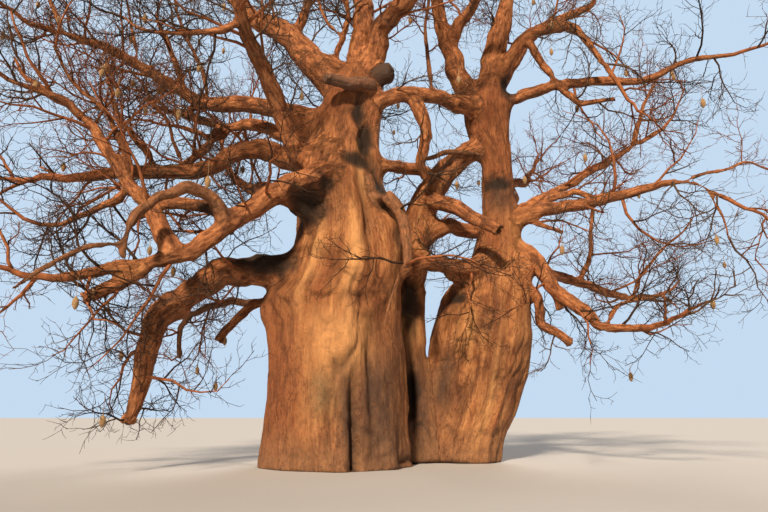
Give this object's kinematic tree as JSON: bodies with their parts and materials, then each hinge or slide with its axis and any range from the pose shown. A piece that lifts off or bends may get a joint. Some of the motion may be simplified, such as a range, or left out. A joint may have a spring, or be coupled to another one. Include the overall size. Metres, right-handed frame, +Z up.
{
  "type": "baobab tree",
  "caption": "Bare dry-season baobab tree: a clump of swollen stems from one root, with thick crooked boughs, broken stubs and masses of fine twigs.",
  "frame": {"origin": "middle of the foot of the left stem, on its flat cut at ground level", "axes": "+Z up, +X to the right along the clump's row of stems, +Y to the back"},
  "size_m": [29.9694, 22.5198, 24.6786],
  "materials": {
    "stem_bark": "matt folded bark, warm tan",
    "bough_bark": "matt creased bark, reddish brown",
    "dead_wood": "weathered grey-brown broken wood",
    "twig_bark": "matt brown twig bark"
  },
  "bodies": {
    "root": {"bough_arc": "bough_bark", "bough_arch": "bough_bark", "bough_back_high": "bough_bark", "bough_back_left": "bough_bark", "bough_back_low": "bough_bark", "bough_back_right": "bough_bark", "bough_behind_right": "bough_bark", "bough_diagonal": "bough_bark", "bough_drop_right": "bough_bark", "bough_elbow": "bough_bark", "bough_fork_left": "bough_bark", "bough_fork_middle": "bough_bark", "bough_fork_right": "bough_bark", "bough_hook": "bough_bark", "bough_link": "bough_bark", "bough_long": "bough_bark", "bough_low_left": "bough_bark", "bough_low_left_drop": "bough_bark", "bough_low_right": "bough_bark", "bough_right_high": "bough_bark", "bough_right_level": "bough_bark", "bough_right_rising": "bough_bark", "bough_riser": "bough_bark", "bough_rising": "bough_bark", "bough_shelf": "bough_bark", "bough_top": "bough_bark", "bough_top_fall": "bough_bark", "bough_top_right": "bough_bark", "bough_twin_left": "bough_bark", "bough_twin_right": "bough_bark", "bough_upper_arch": "bough_bark", "stem_left": "stem_bark", "stem_middle": "stem_bark", "stem_right": "stem_bark", "stub_broken": "dead_wood", "stub_front": "dead_wood", "stub_knob": "dead_wood", "twigs_arch": "twig_bark", "twigs_back_high": "twig_bark", "twigs_back_left": "twig_bark", "twigs_back_low": "twig_bark", "twigs_back_right": "twig_bark", "twigs_behind_right": "twig_bark", "twigs_diagonal": "twig_bark", "twigs_fork_left": "twig_bark", "twigs_fork_middle": "twig_bark", "twigs_fork_right": "twig_bark", "twigs_long": "twig_bark", "twigs_low_right": "twig_bark", "twigs_right_high": "twig_bark", "twigs_right_level": "twig_bark", "twigs_right_rising": "twig_bark", "twigs_riser": "twig_bark", "twigs_rising": "twig_bark", "twigs_top": "twig_bark", "twigs_top_fall": "twig_bark", "twigs_top_right": "twig_bark", "twigs_twin_left": "twig_bark", "twigs_twin_right": "twig_bark", "twigs_upper_arch": "twig_bark"}
  },
  "joints": []
}
